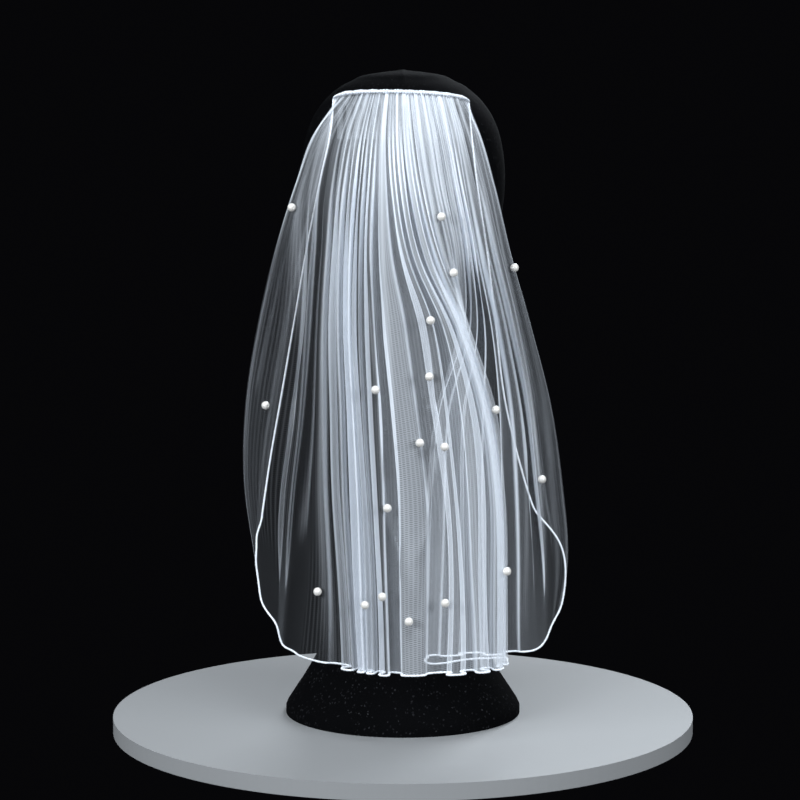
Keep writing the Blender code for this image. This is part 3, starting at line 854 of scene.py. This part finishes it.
# %% [markdown]
# ## Heading
#
# At the top the net is drawn up on a thread and whipped over, which leaves a small roll of packed gathers
# with thread wound round it. The roll is a tube with a gather's ridge every couple of millimetres, and the
# thread is a fine tube that winds round the roll.

# %% Heading material
heading_look, tree, shader = blank("gathers", (0.80, 0.83, 0.88), 0.7)
crumple = pattern(tree, "ShaderNodeTexNoise", 700.0, Detail=4.0)
bumpy(tree, shader, crumple.outputs["Fac"], 0.6, 0.3 * MM)
shader.inputs["Sheen Weight"].default_value = 0.3

# %% Roll of gathers and its thread
ROLL_HALF_DEPTH = 2.2 * MM
ROLL_HALF_HEIGHT = 1.25 * MM
ROLL_ABOVE_NET = 0.8 * MM
ROLL_STEPS = 720
ROLL_SIDES = 14

roll_lane = np.linspace(0.0, FOLD_COUNT, ROLL_STEPS)
roll_x, roll_y = spine(roll_lane, top_height(roll_lane))
roll_path = np.stack([roll_x, roll_y, top_height(roll_lane) + ROLL_ABOVE_NET], axis=1)
roll_side = np.stack([-np.gradient(roll_y), np.gradient(roll_x), np.zeros(ROLL_STEPS)], axis=1)
roll_side = roll_side / np.linalg.norm(roll_side, axis=1, keepdims=True)
taper = np.clip(0.45 + 0.3 * np.minimum(roll_lane, FOLD_COUNT - roll_lane), 0.0, 1.0)


def around_roll(angle, size):
    """Points round the roll at one angle for each step."""
    out = (np.cos(angle) * ROLL_HALF_DEPTH * size)[:, None]
    up = (np.sin(angle) * ROLL_HALF_HEIGHT * size)[:, None]
    return roll_path + out * roll_side + up * np.array([0.0, 0.0, 1.0])


bulge = 0.4 * np.abs(np.sin(math.pi * 2.5 * roll_lane + 0.7 * np.sin(3.1 * roll_lane)))
ridge = 0.75 + bulge * (1 + 0.6 * np.sin(2.9 * roll_lane))
rings = []
for angle in np.linspace(0, 2 * math.pi, ROLL_SIDES + 1):
    rings.append(around_roll(np.full(ROLL_STEPS, angle), taper * ridge))
heading = sheet_object("veil_heading", np.stack(rings, axis=1), heading_look, True)
cap_ends(heading)
dress(heading, "white_gathers", "heading")

# %% Thread wound round the roll
THREAD_TURNS = 38
THREAD_RADIUS = 0.2 * MM
THREAD_STEP = 0.7 * MM
THREAD_STANDS_OFF = 1.12

winding = 2 * math.pi * THREAD_TURNS * np.linspace(0, 1, ROLL_STEPS)
whip_path = even_path(around_roll(winding, taper * THREAD_STANDS_OFF), THREAD_STEP)
whip = sheet_object("veil_whipping", tube_grid(whip_path, THREAD_RADIUS, 5), cord_look, True)
cap_ends(whip)
dress(whip, "white_gathers")


# %% [markdown]
# ## Comb
#
# The comb is clear moulded plastic and hides under the gathers. Its measured solid already has its bar
# and teeth, so it stays and only gets a finish: smooth, clear and a little milky where the plastic is thick.

# %% Comb finish
clear, tree, shader = blank("clear_plastic", (0.62, 0.65, 0.68), 0.15)
milky = pattern(tree, "ShaderNodeTexNoise", 120.0)
cloud = add(tree.nodes, "ShaderNodeMapRange")
tree.links.new(milky.outputs["Fac"], cloud.inputs["Value"])
cloud.inputs["To Min"].default_value = 0.07
cloud.inputs["To Max"].default_value = 0.13
tree.links.new(cloud.outputs["Result"], shader.inputs["Alpha"])
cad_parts["comb"].data.materials[0] = clear


# %% [markdown]
# ## Pearls
#
# Each is a 6 mm imitation pearl, sewn to the net by the hole through it. One is made from a sphere, with its
# ends pushed in where the thread goes through, and its mesh is copied to each place that the measured model
# gives. The hole lies along the net, so each copy is turned to the cloth beside it.

# %% Pearl material
nacre, tree, shader = blank("pearl", (0.95, 0.90, 0.83), 0.16)
coating = pattern(tree, "ShaderNodeTexNoise", 260.0)
tint = add(tree.nodes, "ShaderNodeValToRGB")
tint.color_ramp.elements[0].color = (0.66, 0.61, 0.55, 1)
tint.color_ramp.elements[1].color = (0.78, 0.75, 0.71, 1)
tree.links.new(coating.outputs["Fac"], tint.inputs["Fac"])
tree.links.new(tint.outputs["Color"], shader.inputs["Base Color"])
shader.inputs["Coat Weight"].default_value = 0.6
shader.inputs["Coat Roughness"].default_value = 0.08

# %% One pearl
PEARL_RADIUS = 3.1 * MM
HOLE_RADIUS = 0.6 * MM
PUSHED_IN = 0.62

let_go()
bpy.ops.mesh.primitive_uv_sphere_add(segments=24, ring_count=16, radius=PEARL_RADIUS)
one_pearl = bpy.context.active_object
for vertex in one_pearl.data.vertices:
    if math.hypot(vertex.co.x, vertex.co.y) < HOLE_RADIUS:
        vertex.co.z *= PUSHED_IN
one_pearl.data.materials.append(nacre)
one_pearl.data.shade_smooth()
print("one pearl:", 2 * PEARL_RADIUS, "m across")

# %% Its copies, each in its place
pearl_nodes = sorted(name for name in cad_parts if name.startswith("pearl_"))
net_points = net_grid.reshape(-1, 3)
for name in pearl_nodes:
    low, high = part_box(name)
    centre = (Vector(low) + Vector(high)) / 2
    near = net_points[np.argmin(np.linalg.norm(net_points - np.array(centre), axis=1))]
    away = (centre - Vector(near)).normalized()
    sewn = away.cross(Vector((0.2, 0.1, 1.0))).normalized()
    pearl = bpy.data.objects.new("veil_" + name, one_pearl.data.copy())
    bpy.context.collection.objects.link(pearl)
    pearl.data.transform(sewn.to_track_quat("Z", "Y").to_matrix().to_4x4())
    pearl.data.transform(Matrix.Translation(centre))
    dress(pearl, "pearl", name)
bpy.data.objects.remove(one_pearl)


# %% [markdown]
# ## Display head form
#
# The form is foam under a stretched black cover with a faint sparkle, sewn up the middle. It is one smooth
# shape with no face, so it is lofted through measured sections, and the seam is a fine raised line.

# %% The form's sections
FormRing = namedtuple("FormRing", "height half_width back front")
FORM = (
    FormRing(0, 89, 89, 89),
    FormRing(5, 89, 89, 89),
    FormRing(13, 84.5, 84.5, 84.5),
    FormRing(26, 76, 76, 76),
    FormRing(43, 66, 66, 66),
    FormRing(60, 56.5, 56.5, 56.5),
    FormRing(80, 49.5, 49.5, 49.5),
    FormRing(105, 46, 46, 46),
    FormRing(170, 45, 45, 45),
    FormRing(235, 46, 46, 47),
    FormRing(262, 48.5, 49, 55),
    FormRing(280, 52, 54, 72),
    FormRing(300, 57, 63, 83),
    FormRing(320, 62, 73, 88),
    FormRing(345, 68, 84, 91),
    FormRing(375, 73.5, 93.5, 93.5),
    FormRing(402, 76, 96, 93),
    FormRing(428, 74, 92.5, 89),
    FormRing(443, 70, 87, 83),
    FormRing(455, 64, 79.5, 76),
    FormRing(466, 54.7, 68, 65),
    FormRing(476.7, 38.7, 48, 46),
    FormRing(482.5, 21.5, 27, 26),
)
FORM_TOP = 485.0 * MM
print("the form is", 2 * max(ring.half_width for ring in FORM if ring.height > 300), "mm wide at the temples")


def form_reach(height, field):
    heights = column(FORM, "height") + [FORM_TOP / MM]
    return smooth_curve(heights, column(FORM, field) + [0.0], height / MM) * MM


# %% Black cover material
cover, tree, shader = blank("black_cover", (0.010, 0.010, 0.012), 0.9)
fleck = pattern(tree, "ShaderNodeTexVoronoi", 900.0)
spark = add(tree.nodes, "ShaderNodeMapRange")
tree.links.new(fleck.outputs["Color"], spark.inputs["Value"])
spark.inputs["From Min"].default_value = 0.84
spark.inputs["From Max"].default_value = 0.97
# Sockets 6 and 7 of a Mix node are its two colours, and output 2 is the colour that it gives
dark = add(tree.nodes, "ShaderNodeMix", data_type="RGBA")
dark.inputs[6].default_value = (0.0018, 0.0018, 0.0021, 1)
dark.inputs[7].default_value = (0.022, 0.022, 0.024, 1)
tree.links.new(spark.outputs["Result"], dark.inputs[0])
tree.links.new(dark.outputs[2], shader.inputs["Base Color"])
shader.inputs["Specular IOR Level"].default_value = 0.02
bumpy(tree, shader, fleck.outputs["Distance"], 0.35, 0.4 * MM)

# %% The covered form
FORM_RINGS = 110
FORM_SIDES = 120
SEAM_HEIGHT = 0.45 * MM
SEAM_WIDTH = 1.6 * MM
SEAM_STARTS = 20.0 * MM
CROWN_HEIGHT = 440.0 * MM
CROWN_RISE = 45.0 * MM
CROWN_CAP = 0.25 * MM
CLOSER_AT_RIM = 1.15

rim = FORM[1].height * MM
crown = FORM_TOP - CROWN_CAP
levels = [0.0]
for t in np.linspace(0.0, 1.0, FORM_RINGS):
    levels.append(rim + (crown - rim) * math.sin(t * math.pi / 2) ** CLOSER_AT_RIM)
levels = np.array(levels)
turn = np.linspace(0.0, 2 * math.pi, FORM_SIDES + 1)
half_width = form_reach(levels, "half_width")[:, None]
back = form_reach(levels, "back")[:, None]
front = form_reach(levels, "front")[:, None]
reach = np.where(np.sin(turn) > 0, front, back)
form_x = half_width * np.cos(turn)
form_y = reach * np.sin(turn)
form_z = np.broadcast_to(levels[:, None], form_x.shape).copy()
above_rim = np.clip((levels[:, None] - SEAM_STARTS) / SEAM_STARTS, 0, 1)
seam = SEAM_HEIGHT * np.exp(-((form_x / SEAM_WIDTH) ** 2)) * above_rim
crown_share = np.clip((form_z - CROWN_HEIGHT) / CROWN_RISE, 0, 1)
form_y = form_y + np.sign(np.sin(turn)) * seam * (1 - crown_share)
form_z = form_z + seam * crown_share
form = sheet_object("head_form_cover", np.stack([form_x, form_y, form_z], axis=2), cover, True)
cap_ends(form)
form.data.shade_smooth()
dress(form, "black_cover", "head_form")

take(form)
bpy.ops.object.shade_smooth_by_angle(angle=math.radians(50))


# %% [markdown]
# ## Declaring the cloth
# The net's rounded corners take away a twenty-fifth of the cut.


# %% [markdown]
# ## Floor and light
#
# White net shows only against something darker, so the surround is nearly black, as in the photograph, and
# the floor is a plain pale disc no wider than it has to be. Two broad soft lamps stand at the sides and one
# overhead, so that every fold is lit on one side or the other, and a small one behind outlines the form. Light
# passes many layers of net before it stops, and the Standard view keeps the whites of the net as they are.

# %% Floor
FLOOR_RADIUS = 0.22
FLOOR_DEPTH = 0.012

floor_look, tree, shader = blank("pale_floor", (0.26, 0.26, 0.26), 0.6)
let_go()
bpy.ops.mesh.primitive_cylinder_add(
    vertices=160, radius=FLOOR_RADIUS, depth=FLOOR_DEPTH, location=(0, 0, -FLOOR_DEPTH / 2)
)
floor = bpy.context.active_object
floor.name = "floor"
floor.data.materials.append(floor_look)
floor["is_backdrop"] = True
print("floor:", 2 * FLOOR_RADIUS, "m across")

# %% Lamps
Lamp = namedtuple("Lamp", "name place aim size power")
LAMPS = (
    Lamp("left_soft", (-1.7, -1.5, 0.9), (0, -0.05, 0.27), 1.1, 55),
    Lamp("right_soft", (1.7, -1.5, 0.9), (0, -0.05, 0.27), 1.1, 43),
    Lamp("over_soft", (0.0, -0.9, 2.0), (0, -0.05, 0.3), 1.2, 36),
    Lamp("behind_soft", (0.5, 1.6, 1.2), (0, 0, 0.38), 0.8, 22),
)
LAMP_COLOUR = (0.86, 0.93, 1.0)
for lamp in LAMPS:
    data = bpy.data.lights.new(lamp.name, "AREA")
    data.shape = "DISK"
    data.size = lamp.size
    data.energy = lamp.power
    data.color = LAMP_COLOUR
    made = bpy.data.objects.new(lamp.name, data)
    made.location = lamp.place
    made.rotation_euler = (Vector(lamp.aim) - Vector(lamp.place)).to_track_quat("-Z", "Y").to_euler()
    bpy.context.scene.collection.objects.link(made)
    print("lamp:", lamp.name, lamp.power, "W")

# %% Surround and view
LAYERS_LIT = 64

world = bpy.data.worlds.new("surround")
world.use_nodes = True
world.node_tree.nodes["Background"].inputs["Color"].default_value = (0.004, 0.004, 0.005, 1)
world.node_tree.nodes["Background"].inputs["Strength"].default_value = 0.5
bpy.context.scene.world = world
bpy.context.scene.cycles.transparent_max_bounces = LAYERS_LIT
bpy.context.scene.view_settings.view_transform = "Standard"
print("light passes up to", LAYERS_LIT, "layers")


# %% The dressed model's bounds
low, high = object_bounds()
print("dressed model:", [round(v, 3) for v in low], [round(v, 3) for v in high])
